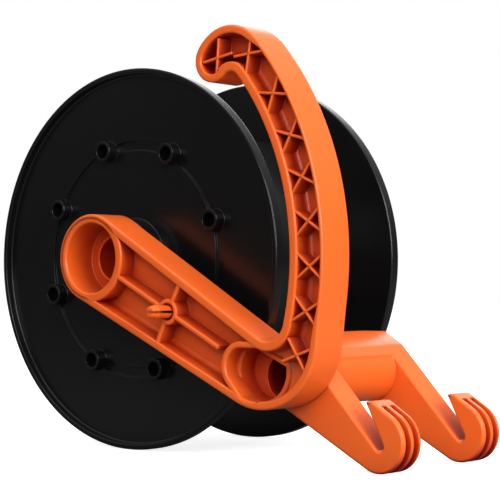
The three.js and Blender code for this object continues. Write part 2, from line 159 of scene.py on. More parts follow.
def newObject(name, solids):
    # one object from several (points, faces) solids, faces turned outwards
    mesh = bpy.data.meshes.new(name)
    points, faces = [], []
    for somePoints, someFaces in solids:
        base = len(points)
        points += [tuple(c * mm for c in p) for p in somePoints]
        faces += [tuple(base + i for i in face) for face in someFaces]
    mesh.from_pydata(points, [], faces)
    obj = bpy.data.objects.new(name, mesh)
    bpy.context.scene.collection.objects.link(obj)
    work = bmesh.new()
    work.from_mesh(mesh)
    bmesh.ops.remove_doubles(work, verts=work.verts, dist=2e-6)
    bmesh.ops.recalc_face_normals(work, faces=work.faces)
    work.to_mesh(mesh)
    work.free()
    return obj


def evaluated(obj):
    # the object's modifiers made into plain mesh
    bpy.context.view_layer.update()
    depsgraph = bpy.context.evaluated_depsgraph_get()
    mesh = bpy.data.meshes.new_from_object(obj.evaluated_get(depsgraph), depsgraph=depsgraph)
    obj.modifiers.clear()
    old = obj.data
    obj.data = mesh
    bpy.data.meshes.remove(old)
    return obj


def carve(obj, cutters, operation="DIFFERENCE"):
    for cutter in cutters:
        modifier = obj.modifiers.new("carve", "BOOLEAN")
        modifier.operation = operation
        modifier.solver = "EXACT"
        modifier.object = cutter
        evaluated(obj)
        bpy.data.objects.remove(cutter)
    return obj


def joined(name, objects):
    # several objects in one mesh
    work = bmesh.new()
    for obj in objects:
        work.from_mesh(obj.data)
        bpy.data.objects.remove(obj)
    mesh = bpy.data.meshes.new(name)
    work.to_mesh(mesh)
    work.free()
    obj = bpy.data.objects.new(name, mesh)
    bpy.context.scene.collection.objects.link(obj)
    return obj


def settle(obj, body, material, nodes=(), creaseAngle=32):
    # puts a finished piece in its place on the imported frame
    mesh = obj.data
    mesh.transform(Matrix.Translation(spoolCentre))
    mesh.materials.clear()
    mesh.materials.append(material)
    for polygon in mesh.polygons:
        polygon.use_smooth = True
        polygon.material_index = 0
    mesh.set_sharp_from_angle(angle=math.radians(creaseAngle))
    # keeps broad faces flat beside round edges
    flatShading = obj.modifiers.new("flatShading", "WEIGHTED_NORMAL")
    flatShading.keep_sharp = True
    evaluated(obj)
    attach(obj, body)
    if nodes:
        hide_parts(*nodes)
    return obj


# materials

def noiseNode(nodes, links, coordinates, scale, detail=2.0, roughness=0.5):
    noise = nodes.new("ShaderNodeTexNoise")
    noise.inputs["Scale"].default_value = scale
    noise.inputs["Detail"].default_value = detail
    noise.inputs["Roughness"].default_value = roughness
    links.new(coordinates, noise.inputs["Vector"])
    return noise


def plastic(name, look):
    # moulded plastic: a little colour drift, painted shade in hollows where the look asks for it, uneven
    # gloss, fine skin texture and softened edges
    material = bpy.data.materials.new(name)
    material.use_nodes = True
    nodes, links = material.node_tree.nodes, material.node_tree.links
    shader = nodes["Principled BSDF"]
    where = nodes.new("ShaderNodeTexCoord").outputs["Object"]
    drift = noiseNode(nodes, links, where, look["driftScale"], 3)
    tint = nodes.new("ShaderNodeValToRGB")
    tint.color_ramp.elements[0].position = 0.3
    tint.color_ramp.elements[0].color = (*look["colorDeep"], 1)
    tint.color_ramp.elements[1].position = 0.7
    tint.color_ramp.elements[1].color = (*look["color"], 1)
    links.new(drift.outputs["Fac"], tint.inputs["Fac"])
    if look.get("paintedShadeColor"):  # painted shade: the base colour turns deep red in hollows and recesses, driven by ambient occlusion
        openness = nodes.new("ShaderNodeAmbientOcclusion")
        openness.samples = 6
        openness.inputs["Distance"].default_value = look["paintedShadeReach"] * mm
        # painted shade mask: the less open a spot is, the more of the deep red shade colour it gets
        paintedShadeAmount = nodes.new("ShaderNodeMapRange")
        paintedShadeAmount.inputs["From Min"].default_value, paintedShadeAmount.inputs["From Max"].default_value = look["paintedShadeRange"]
        links.new(openness.outputs["AO"], paintedShadeAmount.inputs["Value"])
        paintedShadeMix = nodes.new("ShaderNodeMix")
        paintedShadeMix.data_type = "RGBA"
        paintedShadeMix.inputs[6].default_value = (*look["paintedShadeColor"], 1)
        links.new(paintedShadeAmount.outputs["Result"], paintedShadeMix.inputs[0])
        links.new(tint.outputs["Color"], paintedShadeMix.inputs[7])
        links.new(paintedShadeMix.outputs[2], shader.inputs["Base Color"])
    else:
        links.new(tint.outputs["Color"], shader.inputs["Base Color"])
    gloss = noiseNode(nodes, links, where, look["glossScale"], 4, 0.6)
    span = nodes.new("ShaderNodeMapRange")
    span.inputs["To Min"].default_value = look["roughness"][0]
    span.inputs["To Max"].default_value = look["roughness"][1]
    links.new(gloss.outputs["Fac"], span.inputs["Value"])
    links.new(span.outputs["Result"], shader.inputs["Roughness"])
    soft = nodes.new("ShaderNodeBevel")
    soft.samples = 4
    soft.inputs["Radius"].default_value = look["softEdge"] * mm
    skin = noiseNode(nodes, links, where, look["skinScale"], 2)
    bump = nodes.new("ShaderNodeBump")
    bump.inputs["Strength"].default_value = look["skinStrength"]
    bump.inputs["Distance"].default_value = 0.0002
    links.new(skin.outputs["Fac"], bump.inputs["Height"])
    links.new(soft.outputs["Normal"], bump.inputs["Normal"])
    links.new(bump.outputs["Normal"], shader.inputs["Normal"])
    shader.inputs["IOR"].default_value = look["ior"]
    if look.get("glow"):
        shader.inputs["Subsurface Weight"].default_value = look["glow"]
        shader.inputs["Subsurface Radius"].default_value = look["glowReach"]
        shader.inputs["Subsurface Scale"].default_value = 1.0
    return material


def steel(name, look):
    # zinc plated steel, faintly brushed round
    material = bpy.data.materials.new(name)
    material.use_nodes = True
    nodes, links = material.node_tree.nodes, material.node_tree.links
    shader = nodes["Principled BSDF"]
    where = nodes.new("ShaderNodeTexCoord").outputs["Object"]
    shader.inputs["Metallic"].default_value = 1.0
    drift = noiseNode(nodes, links, where, 60, 3)
    tint = nodes.new("ShaderNodeValToRGB")
    tint.color_ramp.elements[0].color = (*look["colorDeep"], 1)
    tint.color_ramp.elements[1].color = (*look["color"], 1)
    links.new(drift.outputs["Fac"], tint.inputs["Fac"])
    links.new(tint.outputs["Color"], shader.inputs["Base Color"])
    grain = noiseNode(nodes, links, where, 900, 4)
    span = nodes.new("ShaderNodeMapRange")
    span.inputs["To Min"].default_value = look["roughness"][0]
    span.inputs["To Max"].default_value = look["roughness"][1]
    links.new(grain.outputs["Fac"], span.inputs["Value"])
    links.new(span.outputs["Result"], shader.inputs["Roughness"])
    bump = nodes.new("ShaderNodeBump")
    bump.inputs["Strength"].default_value = 0.08
    bump.inputs["Distance"].default_value = 0.0001
    links.new(grain.outputs["Fac"], bump.inputs["Height"])
    links.new(bump.outputs["Normal"], shader.inputs["Normal"])
    return material


orangeLook = {
    "color": (0.92, 0.145, 0.019), "colorDeep": (0.89, 0.130, 0.016), "driftScale": 9,
    # painted shade for hollows: deep red colour, ambient occlusion reach and range
    "paintedShadeColor": (0.33, 0.004, 0.001), "paintedShadeReach": 40, "paintedShadeRange": (0.20, 0.60),
    "roughness": (0.30, 0.38), "glossScale": 22, "skinScale": 1400, "skinStrength": 0.05,
    "softEdge": 0.9, "ior": 1.46, "glow": 0.12, "glowReach": (0.004, 0.0012, 0.0005),
}
blackLook = {
    "color": (0.0055, 0.0056, 0.0056), "colorDeep": (0.0042, 0.0043, 0.0043), "driftScale": 12,
    "roughness": (0.20, 0.27), "glossScale": 30, "skinScale": 1600, "skinStrength": 0.04,
    "softEdge": 0.5, "ior": 1.45,
}
whiteLook = {
    "color": (0.78, 0.77, 0.72), "colorDeep": (0.72, 0.70, 0.64), "driftScale": 30,
    "roughness": (0.42, 0.52), "glossScale": 50, "skinScale": 1500, "skinStrength": 0.05,
    "softEdge": 0.3, "ior": 1.5,
}
zincLook = {"color": (0.62, 0.62, 0.64), "colorDeep": (0.5, 0.5, 0.52), "roughness": (0.26, 0.4)}
orangePlastic = plastic("orangePlastic", orangeLook)
blackPlastic = plastic("blackPlastic", blackLook)
whitePlastic = plastic("whitePlastic", whiteLook)
zincSteel = steel("zincSteel", zincLook)
print("materials made")


# Geometry Nodes: copies of a small shape along a circle round the spool's axle

def ringPatternTree():
    tree = bpy.data.node_groups.new("ringPattern", "GeometryNodeTree")
    sockets = {}
    kinds = [("Geometry", "NodeSocketGeometry"), ("Count", "NodeSocketInt"), ("Radius", "NodeSocketFloat"),
             ("Start", "NodeSocketFloat"), ("Step", "NodeSocketFloat"), ("Finish", "NodeSocketMaterial")]
    for label, kind in kinds:
        sockets[label] = tree.interface.new_socket(label, in_out="INPUT", socket_type=kind).identifier
    tree.interface.new_socket("Geometry", in_out="OUTPUT", socket_type="NodeSocketGeometry")
    nodes, links = tree.nodes, tree.links
    given = nodes.new("NodeGroupInput")
    result = nodes.new("NodeGroupOutput")

    def sums(operation, first, second=None):
        node = nodes.new("ShaderNodeMath")
        node.operation = operation
        for index, value in enumerate((first, second)):
            if isinstance(value, (int, float)):
                node.inputs[index].default_value = value
            elif value is not None:
                links.new(value, node.inputs[index])
        return node.outputs[0]

    index = nodes.new("GeometryNodeInputIndex").outputs[0]
    angle = sums("ADD", given.outputs["Start"], sums("MULTIPLY", index, given.outputs["Step"]))
    spot = nodes.new("ShaderNodeCombineXYZ")
    links.new(sums("MULTIPLY", given.outputs["Radius"], sums("COSINE", angle)), spot.inputs["X"])
    links.new(sums("MULTIPLY", given.outputs["Radius"], sums("SINE", angle)), spot.inputs["Z"])
    turn = nodes.new("ShaderNodeCombineXYZ")
    links.new(sums("MULTIPLY", angle, -1.0), turn.inputs["Y"])
    points = nodes.new("GeometryNodePoints")
    links.new(given.outputs["Count"], points.inputs["Count"])
    setPlace = nodes.new("GeometryNodeSetPosition")
    links.new(points.outputs[0], setPlace.inputs["Geometry"])
    links.new(spot.outputs[0], setPlace.inputs["Position"])
    copies = nodes.new("GeometryNodeInstanceOnPoints")
    links.new(setPlace.outputs[0], copies.inputs["Points"])
    links.new(given.outputs["Geometry"], copies.inputs["Instance"])
    links.new(turn.outputs[0], copies.inputs["Rotation"])
    real = nodes.new("GeometryNodeRealizeInstances")
    links.new(copies.outputs[0], real.inputs[0])
    finish = nodes.new("GeometryNodeSetMaterial")
    links.new(real.outputs[0], finish.inputs["Geometry"])
    links.new(given.outputs["Finish"], finish.inputs["Material"])
    links.new(finish.outputs[0], result.inputs[0])
    return tree, sockets


ringTree, ringSockets = ringPatternTree()


def ringPattern(obj, count, radius, start, step, material):
    modifier = obj.modifiers.new("ringPattern", "NODES")
    modifier.node_group = ringTree
    values = {"Count": count, "Radius": radius * mm, "Start": math.radians(start),
              "Step": math.radians(step), "Finish": material}
    for label, value in values.items():
        modifier[ringSockets[label]] = value
    return evaluated(obj)


# frame: arm, foot, grip and head in one shell

shell = {
    "front": -100.0, "back": -74.3, "floorDepth": 14.0, "floor": 3.0,
    "hubRadius": 28.1, "lowerEdge": -24.3, "upperEdge": -29.9,
    "baseRadius": 43.5, "baseX": 141.1,
    "gripInner": 164.0, "gripOuter": 188.8, "gripStart": -9.0, "gripFillet": 13.0,
    "headAngle": 43.0, "headTop": 29.0, "headEnd": 13.5, "headEndAngle": 145.0, "throat": 7.5,
    "walls": {"arm": 5.0, "foot": 5.0, "inner": 6.0, "outer": 2.2, "head": 5.0},
    "outerRounding": {"arm": 1.7, "foot": 1.5, "inner": 1.6, "outer": 0.9, "head": 1.5},
    "innerRounding": {"arm": 1.1, "foot": 1.1, "inner": 1.3, "outer": 0.8, "head": 1.2},
    "floorFillet": 3.0, "draft": 0.35,
}


def unit(angle):
    return Vector(polar(1, angle))


lowerNormal = unit(shell["lowerEdge"] - 90)
upperNormal = unit(shell["upperEdge"] + 90)
baseZ = (shell["baseRadius"] - shell["hubRadius"] + lowerNormal.x * shell["baseX"]) / -lowerNormal.y
baseCentre = Vector((shell["baseX"], baseZ))
headTop = Vector(polar(shell["gripOuter"] - shell["headTop"], shell["headAngle"]))
headEnd = headTop + Vector(polar(shell["headTop"] - shell["headEnd"], shell["headEndAngle"]))


def angleOf(v):
    return math.degrees(math.atan2(v.y, v.x))


def throatCentre():
    reach = shell["gripInner"] - shell["throat"]
    far = headEnd.length
    between = shell["headEnd"] + shell["throat"]
    cosine = (reach ** 2 + far ** 2 - between ** 2) / (2 * reach * far)
    return Vector(polar(reach, angleOf(headEnd) - math.degrees(math.acos(cosine))))


def filletCentre():
    away = shell["hubRadius"] + shell["gripFillet"]
    along = math.sqrt((shell["gripInner"] - shell["gripFillet"]) ** 2 - away ** 2)
    return upperNormal * away + unit(shell["upperEdge"]) * along


throat = throatCentre()
fillet = filletCentre()
throatTurn = angleOf(throat - headEnd) % 360


def shellOutline(inset, taper):
    # list of (x, z, wall name); inset holds a distance for each wall
    s = shell
    top = s["headAngle"]
    low = angleOf(lowerNormal) % 360
    runs = [
        ("arm", 0, 0, s["hubRadius"] - inset["arm"], s["upperEdge"] + 90, low, 40),
        ("foot", *baseCentre, s["baseRadius"] - inset["foot"], low, 357, 34),
        ("outer", 0, 0, s["gripOuter"] - inset["outer"], s["gripStart"], top - 2.2 * taper, 56),
        ("head", *headTop, s["headTop"] - 0.08 - inset["head"], top + 10 * taper, s["headEndAngle"], 24),
        ("head", *headEnd, s["headEnd"] - 0.08 - inset["head"], s["headEndAngle"], throatTurn, 24),
        ("inner", *throat, s["throat"] + inset["inner"], throatTurn - 180, angleOf(throat), 16),
        ("inner", 0, 0, s["gripInner"] + inset["inner"], angleOf(throat), angleOf(fillet), 52),
        ("inner", *fillet, s["gripFillet"] + inset["inner"], angleOf(fillet), s["upperEdge"] - 90, 16),
    ]
    out = []
    for k, (wall, cx, cz, radius, start, end, count) in enumerate(runs):
        joins = k in (4, 6, 7)  # these runs start where the last one ends
        out += [(x, z, wall) for x, z in arc(cx, cz, radius, start, end, count)[joins:]]
    return out


def shellHalf(edge, floorPlace):
    # loops from the outer wall over the rim and down to the floor
    s = shell
    sign = 1 if edge < floorPlace else -1
    outer, inner, walls = s["outerRounding"], s["innerRounding"], s["walls"]
    fillet, draft = s["floorFillet"], s["draft"]
    loops = []
    for inset, drop in quarterTurn(4):
        ring = shellOutline({w: outer[w] * inset for w in walls}, 0)
        loops.append([(x, edge + sign * outer[w] * drop, z) for x, z, w in ring])
    for inset, drop in quarterTurn(4)[::-1]:
        ring = shellOutline({w: walls[w] - inner[w] * inset for w in walls}, 1)
        loops.append([(x, edge + sign * inner[w] * drop, z) for x, z, w in ring])
    for inset, drop in quarterTurn(5):
        ring = shellOutline({w: walls[w] + draft + fillet * inset for w in walls}, 1)
        loops.append([(x, floorPlace - sign * fillet * drop, z) for x, z, w in ring])
    return loops


floorMiddle = shell["front"] + shell["floorDepth"]
floorFront = floorMiddle - shell["floor"] / 2
floorBack = floorMiddle + shell["floor"] / 2
shellLoops = shellHalf(shell["back"], floorBack)[::-1] + shellHalf(shell["front"], floorFront)
shellBody = newObject("shellBody", [loft(shellLoops)])

socket = {"x": 135.0, "z": -68.0, "radius": 17.4, "chord": 9.5, "flatAngle": 66.0,
          "wallX": 126.3, "wallZ": -65.4, "wallRadius": 13.1, "wallHalf": 1.9, "wallEnd": 223.0,
          "wallRun": 12.0,
          "blendRadius": 40.9, "blendAngles": (248, 266)}


def socketOutline(extra, count=48):
    half = math.degrees(math.acos((socket["chord"] + extra) / (socket["radius"] + extra)))
    middle = socket["flatAngle"]
    return arc(socket["x"], socket["z"], socket["radius"] + extra, middle + half, middle - half + 360,
               count)


hubCutter = newObject("hubCutter", [slab(arc(0, 0, 25, 0, 355, 72), -104, -68, 0.5)])
socketCutter = newObject("socketCutter", [slab(socketOutline(1.2), -104, -68, 0.3)])
carve(shellBody, [hubCutter, socketCutter])
print("shell made")

# hub and hollow stub axle, one turned shape
hub = {"outer": 28.1, "bore": 22.4, "stepBore": 13.5, "lipRadius": 15.9, "lipHeight": 1.4, "axle": 21.0,
       "axleEnd": 72.5, "plug": 56.5, "screwHole": 3.3, "step": -76.8}
hubProfile = roundProfile([
    (hub["outer"], shell["front"], 1.5), (hub["outer"], shell["back"], 1.3),
    (hub["axle"], shell["back"], 1.0),
    (hub["axle"], hub["axleEnd"], 0.8), (hub["screwHole"], hub["axleEnd"], 0.3),
    (hub["screwHole"], hub["plug"], 0.2),
    (hub["stepBore"], hub["plug"], 1.5), (hub["stepBore"], hub["step"] - hub["lipHeight"], 0.6),
    (hub["lipRadius"], hub["step"] - hub["lipHeight"], 0.6), (hub["lipRadius"], hub["step"], 0.4),
    (hub["bore"] - 0.5, hub["step"], 0.8), (hub["bore"], shell["front"], 1.7),
])
hubBody = newObject("hubBody", [lathe(hubProfile, 160)])

# ribs of the arm, the lock pin's ring boss, and the socket's walls
lock = {"radius": 75.2, "angle": -26.6}
lockSpot = Vector(polar(lock["radius"], lock["angle"]))
ribs = {"thickness": 3.0, "edge": 1.0, "recess": 0.4, "ringOuter": 8.1, "ringMouth": 5.4, "ringHole": 4.3}
yFront = shell["front"] + ribs["recess"]
yBack = shell["back"] - ribs["recess"]
armSolids = []
longStart = lockSpot.normalized() * 26.5
longEnd = lockSpot.normalized() * 122
ringReach = lockSpot.normalized() * 7
for start, end in ((longStart, lockSpot - ringReach), (lockSpot + ringReach, longEnd)):
    armSolids.append(slab(barOutline(start, end, ribs["thickness"]), yFront, yBack, ribs["edge"]))
for normal in (upperNormal, lowerNormal):
    reach = shell["hubRadius"] - lockSpot.dot(normal) - 3.0
    outline = barOutline(lockSpot + normal * 7, lockSpot + normal * reach, ribs["thickness"])
    armSolids.append(slab(outline, yFront, yBack, ribs["edge"]))
ringProfile = roundProfile([
    (ribs["ringOuter"], yFront, 1.0), (ribs["ringOuter"], yBack, 1.0), (6.4, yBack, 0.6),
    (6.4, floorBack, 0.2), (ribs["ringHole"], floorBack, 0.2),
    (ribs["ringHole"], yFront + 2.2, 0.6), (ribs["ringMouth"] + 0.2, yFront, 0.8),
])
armSolids.append(lathe(ringProfile, 64, *lockSpot))



def sweptWall(path, half, yLow, yHigh, rounding):
    # a wall of rounded section along a line of (x, z) points
    section = roundProfile([(-half, yLow, rounding), (half, yLow, rounding), (half, yHigh, 0.2),
                            (-half, yHigh, 0.2)], 4)
    loops = []
    for i, p in enumerate(path):
        along = (Vector(path[min(i + 1, len(path) - 1)]) - Vector(path[max(i - 1, 0)])).normalized()
        loops.append([(p[0] - along.y * w, y, p[1] + along.x * w) for w, y in section])
    return loft(loops)


wallPath = [(socket["wallX"] + socket["wallRun"], socket["wallZ"] + socket["wallRadius"])]
wallPath += arc(socket["wallX"], socket["wallZ"], socket["wallRadius"], 90, socket["wallEnd"], 48)
wallPath += arc(*baseCentre, socket["blendRadius"], *socket["blendAngles"], 12)
armSolids.append(sweptWall(wallPath, socket["wallHalf"], yFront, floorMiddle, 1.3))
# the skirt round the socket, as (growth of its outline, y) from outside over the lip and in
skirtSteps = (
    (4.0, -75.3), (4.0, -87.0), (3.6, -88.0), (2.9, -88.5),
    (1.2, -88.5), (0.4, -88.1), (0.0, -87.2), (-0.8, -76.7),
)
skirtLoops = [[(x, y, z) for x, z in socketOutline(extra)] for extra, y in skirtSteps]
armSolids.append(loft(skirtLoops, wrapped=True))
armBody = newObject("armBody", armSolids)

# the foot is solid behind the socket's floor, apart from the way through to the fork's tube
tube = {"x": 143.0, "z": -71.5, "outer": 18.7, "inner": 14.2}
foot = {"inset": 2.0, "front": -85.5, "back": -74.5, "edge": 1.0, "holeGrowth": 1.5, "holeBack": -76.3}
footOutline = arc(*baseCentre, shell["baseRadius"] - foot["inset"], 0, 355, 72)
footPlug = newObject("footPlug", [slab(footOutline, foot["front"], foot["back"], foot["edge"])])
wholeFoot = [(x, z) for x, z, w in shellOutline({w: 1.5 for w in shell["walls"]}, 0)]
footLimit = newObject("footLimit", [slab(wholeFoot, -90, -70, 0.2)])
carve(footPlug, [footLimit], "INTERSECT")
footTube = arc(tube["x"], tube["z"], tube["inner"], 0, 355, 64)
carve(footPlug, [
    newObject("footHole", [slab(socketOutline(foot["holeGrowth"]), -90, foot["holeBack"], 0.3)]),
    newObject("footTube", [slab(footTube, -90, -60, 0.3)]),
])
print("hub, ribs and socket made")

# crossed ribs in the grip, repeated round the arc
crosses = {"rib": 1.7, "spread": 7.2, "recess": 0.9, "edge": 0.6, "start": -18.8, "pitch": 8.35, "count": 6}
channelInner = shell["gripInner"] + shell["walls"]["inner"]
channelOuter = shell["gripOuter"] - shell["walls"]["outer"]
channelMiddle = (channelInner + channelOuter) / 2
crossReach = (channelOuter - channelInner) / 2 + 0.9


def crossShape(name):
    # one cross at the origin; X points away from the spool's axle
    solids = []
    for sign in (1, -1):
        outline = barOutline((-crossReach, -sign * crosses["spread"]),
                             (crossReach, sign * crosses["spread"]), crosses["rib"])
        solids.append(slab(outline, shell["front"] + crosses["recess"],
                           shell["back"] - crosses["recess"], crosses["edge"]))
    return newObject(name, solids)


headCross = headEnd + Vector(polar(4, 15))
crossParts = [
    ringPattern(crossShape("gripCrosses"), crosses["count"], channelMiddle, crosses["start"],
                crosses["pitch"], orangePlastic),
    ringPattern(crossShape("neckCrosses"), 2, channelMiddle, 32, 10, orangePlastic),
    ringPattern(crossShape("headCross"), 1, headCross.length, angleOf(headCross), 0, orangePlastic),
]
print("crosses made")

# fork: two legs with hooks, and the tube between them
fork = {
    "thickness": 19.0, "spacing": 83.3, "topX": 140.4, "topZ": -46.8, "shoulderX": 153.7,
    "shoulderZ": -54.8, "hookX": 208.0, "hookRadius": 17.92, "under": -28.3, "tip": -33.0,
    "tipWidth": 5.3, "tipTop": -83.6, "slotX": 209.3, "slotZ": -109.3, "slotRadius": 2.6,
    "mouthX": 188.5, "mouthZ": -91.6, "fin": 3.0, "groove": 5.0, "grooveDepth": 4.5,
    "grooveRun": 11.0, "edge": 1.7,
}
hookZ = -107.0


def shoulderPoints():
    # the bend at the top of the fork, with a crisp but not sharp corner
    f = fork
    mouth, shoulder = Vector((f["mouthX"], f["mouthZ"])), Vector((f["shoulderX"], f["shoulderZ"]))
    top = Vector((f["topX"], f["topZ"]))
    down, back = (mouth - shoulder).normalized(), (top - shoulder).normalized()
    return [tuple(shoulder + down * 8), tuple(shoulder + down * 1.0),
            tuple(shoulder + down * 0.3 + back * 0.25),
            tuple(shoulder + back * 1.0), tuple(shoulder + back * 3), tuple(top)]


def legOutline():
    f = fork
    foot = Vector((f["hookX"], hookZ)) + Vector(polar(f["hookRadius"], f["tip"] + 90))
    rise = unit(f["tip"])
    run = (f["tipTop"] - foot.y) / -rise.y
    tipOuter = foot.x - run * rise.x
    out = [(tube["x"] - tube["outer"], f["topZ"])]
    out += arc(tube["x"], tube["z"], tube["outer"], 180, f["under"] - 90 + 360, 20)
    out += arc(f["hookX"], hookZ, f["hookRadius"], f["under"] - 90, f["tip"] + 90, 44)
    out += arc(tipOuter - 0.9, f["tipTop"] - 1.0, 1.0, 50, 90, 4)
    out += arc(tipOuter - f["tipWidth"] + 1.0, f["tipTop"] - 1.0, 1.0, 90, 190, 6)
    out += arc(f["slotX"], f["slotZ"], f["slotRadius"], 27, -134, 16)
    mouth, shoulder = Vector((f["mouthX"], f["mouthZ"])), Vector((f["shoulderX"], f["shoulderZ"]))
    slotSide = Vector(out[-1]) - mouth
    out += [tuple(mouth + slotSide * 0.25), tuple(mouth + slotSide * 0.04),
            tuple(mouth + (shoulder - mouth) * 0.04)]
    return out + shoulderPoints()


def finGroove(yFrom):
    # band round the outside of a hook, cut away between two fins
    f = fork
    inner, outer = f["hookRadius"] - f["grooveDepth"], f["hookRadius"] + 4
    edge = f["tip"] + 90
    back = Vector(polar(1, f["tip"] + 180))
    band = arc(f["hookX"], hookZ, outer, -112, edge, 40)
    far = Vector(band[-1]) + back * f["grooveRun"]
    innerArc = arc(f["hookX"], hookZ, inner, edge, -112, 40)
    near = Vector(innerArc[0]) + back * f["grooveRun"]
    return newObject("finGroove", [slab(band + [tuple(far), tuple(near)] + innerArc, yFrom,
                                        yFrom + f["groove"], 0.4, 2)])


def forkLeg(yFrom):
    leg = newObject("forkLeg", [slab(legOutline(), yFrom, yFrom + fork["thickness"], fork["edge"], 4)])
    first = yFrom + fork["fin"]
    return carve(leg, [finGroove(first), finGroove(first + fork["fin"] + fork["groove"])])


nearLegY = shell["back"]
farLegY = nearLegY + fork["spacing"]
legs = [forkLeg(nearLegY), forkLeg(farLegY)]
tubeOutline = [(tube["x"] - tube["outer"], fork["topZ"])]
tubeOutline += arc(tube["x"], tube["z"], tube["outer"], 180, 390, 48)
tubeOutline += [(x, z - 0.12) for x, z in shoulderPoints()]
crossTube = newObject("crossTube", [slab(tubeOutline, nearLegY + 1, farLegY + 1, 0.1)])
boreOutline = arc(tube["x"], tube["z"], tube["inner"], 0, 355, 64)


def tubeBore():
    return newObject("tubeBore", [slab(boreOutline, -110, farLegY - 4.5, 0.5)])


carve(crossTube, [tubeBore()])
carve(legs[0], [tubeBore()])
print("fork made")

frameMoulding = joined("frame_moulding", [shellBody, hubBody, armBody, footPlug, *crossParts, *legs,
                                          crossTube])
settle(frameMoulding, "frame", orangePlastic, ["frame"])

# lock pin: a split push-in pin with barbs

pin = {"radius": 4.0, "tip": -114.7, "barb": 0.5, "barbLength": 6.0, "shoulder": 6.0, "shoulderFrom": -84.2,
       "shoulderTo": -79.0, "nose": 4.4, "noseEnd": -68.2, "slot": 1.5, "slotEnd": -96.5}
pinProfile = roundProfile([
    (0, pin["tip"], 0), (pin["radius"] - 0.6, pin["tip"], 1.6),
    (pin["radius"] + pin["barb"], pin["tip"] + pin["barbLength"] - 1, 0.7),
    (pin["radius"] + pin["barb"], pin["tip"] + pin["barbLength"], 0.4),
    (pin["radius"], pin["tip"] + pin["barbLength"] + 0.7, 0.5),
    (pin["radius"], pin["shoulderFrom"], 0.2), (pin["shoulder"], pin["shoulderFrom"], 0.4),
    (pin["shoulder"], pin["shoulderTo"], 0.5), (pin["nose"], pin["shoulderTo"], 0.3),
    (pin["nose"], pin["noseEnd"] - 1.4, 0.8), (pin["nose"] - 1.5, pin["noseEnd"], 0.5),
    (0, pin["noseEnd"], 0),
])
lockPin = newObject("split_lock_pin", [lathe(pinProfile, 64, *lockSpot)])
slotOutline = barOutline((lockSpot.x - 9, lockSpot.y), (lockSpot.x + 9, lockSpot.y), pin["slot"])
carve(lockPin, [newObject("pinSlot", [slab(slotOutline, pin["tip"] - 2, pin["slotEnd"], 0.1)])])
settle(lockPin, "lock_pin", orangePlastic, ["lock_pin"])
print("lock pin made")

# spool: two flanges and the drum

spool = {
    "radius": 125.0, "inner": 56.2, "web": 2.6, "rim": 7.6, "lip": 3.5, "grooveRadius": 74.7,
    "grooveWidth": 6.3, "grooveDepth": 1.6, "hubBore": 24.0, "hubWall": 26.2, "hubFace": 70.4,
    "hubReach": 12.0, "drum": 84.5, "drumWall": 2.8, "bossCircle": 75.2, "bossRadius": 7.0,
    "bossBore": 4.75, "bossFace": 66.2, "spigot": 6.35, "spigotLength": 11.0, "seat": 47.7,
    "screwHole": 2.3,
}


def flangeProfile():
    s = spool
    web = s["inner"] + s["web"]
    rimFace = s["inner"] + s["rim"]
    grooveIn = s["grooveRadius"] - s["grooveWidth"] / 2
    grooveOut = s["grooveRadius"] + s["grooveWidth"] / 2
    return roundProfile([
        (s["hubBore"], s["inner"] - s["hubReach"], 0.4), (s["hubWall"], s["inner"] - s["hubReach"], 0.6),
        (s["hubWall"], s["inner"], 0.8), (s["radius"], s["inner"], 1.3), (s["radius"], rimFace, 1.3),
        (s["radius"] - s["lip"], rimFace, 0.9), (s["radius"] - s["lip"] - 0.3, web, 1.4),
        (grooveOut, web, 0.5), (grooveOut - 0.3, web - s["grooveDepth"], 0.4),
        (grooveIn + 0.3, web - s["grooveDepth"], 0.4),
        (grooveIn, web, 0.5), (s["hubWall"], web, 1.0), (s["hubWall"], s["hubFace"], 0.8),
        (s["hubBore"], s["hubFace"], 0.5),
    ])


def bossPattern():
    s = spool
    web = s["inner"] + s["web"]
    profile = roundProfile([
        (s["screwHole"], s["inner"] - s["spigotLength"], 0),
        (s["spigot"], s["inner"] - s["spigotLength"], 0.5),
        (s["spigot"], s["inner"] + 0.6, 0), (s["bossRadius"] + 0.5, web - 1.4, 0),
        (s["bossRadius"] + 0.15, web + 0.4, 0.4),
        (s["bossRadius"], s["bossFace"], 0.7), (s["bossBore"], s["bossFace"], 0.5),
        (s["bossBore"], s["seat"], 0.2),
        (s["screwHole"], s["seat"], 0),
    ], 3)
    boss = newObject("bosses", [lathe(profile, 40)])
    return ringPattern(boss, 8, s["bossCircle"], lock["angle"], 45, blackPlastic)


def flangeDisc(name):
    disc = newObject("disc", [lathe(flangeProfile(), 256)])
    holes = newObject("holes", [lathe([(0, spool["inner"] - 3),
                                       (spool["bossRadius"] - 0.6, spool["inner"] - 3),
                                       (spool["bossRadius"] - 0.6, spool["bossFace"] + 3),
                                       (0, spool["bossFace"] + 3)], 32)])
    ringPattern(holes, 8, spool["bossCircle"], lock["angle"], 45, blackPlastic)
    carve(disc, [holes])
    return joined(name, [disc, bossPattern()])


def turnedRound(obj):
    # the far side's shape turned to the near side, with the bosses on the same angles
    turn = Matrix.Rotation(math.radians(-2 * lock["angle"]), 4, "Y")
    obj.data.transform(turn @ Matrix.Rotation(math.pi, 4, "X"))
    return obj


nearFlange = turnedRound(flangeDisc("near_flange_moulding"))
settle(nearFlange, "spool", blackPlastic, ["near_flange"])

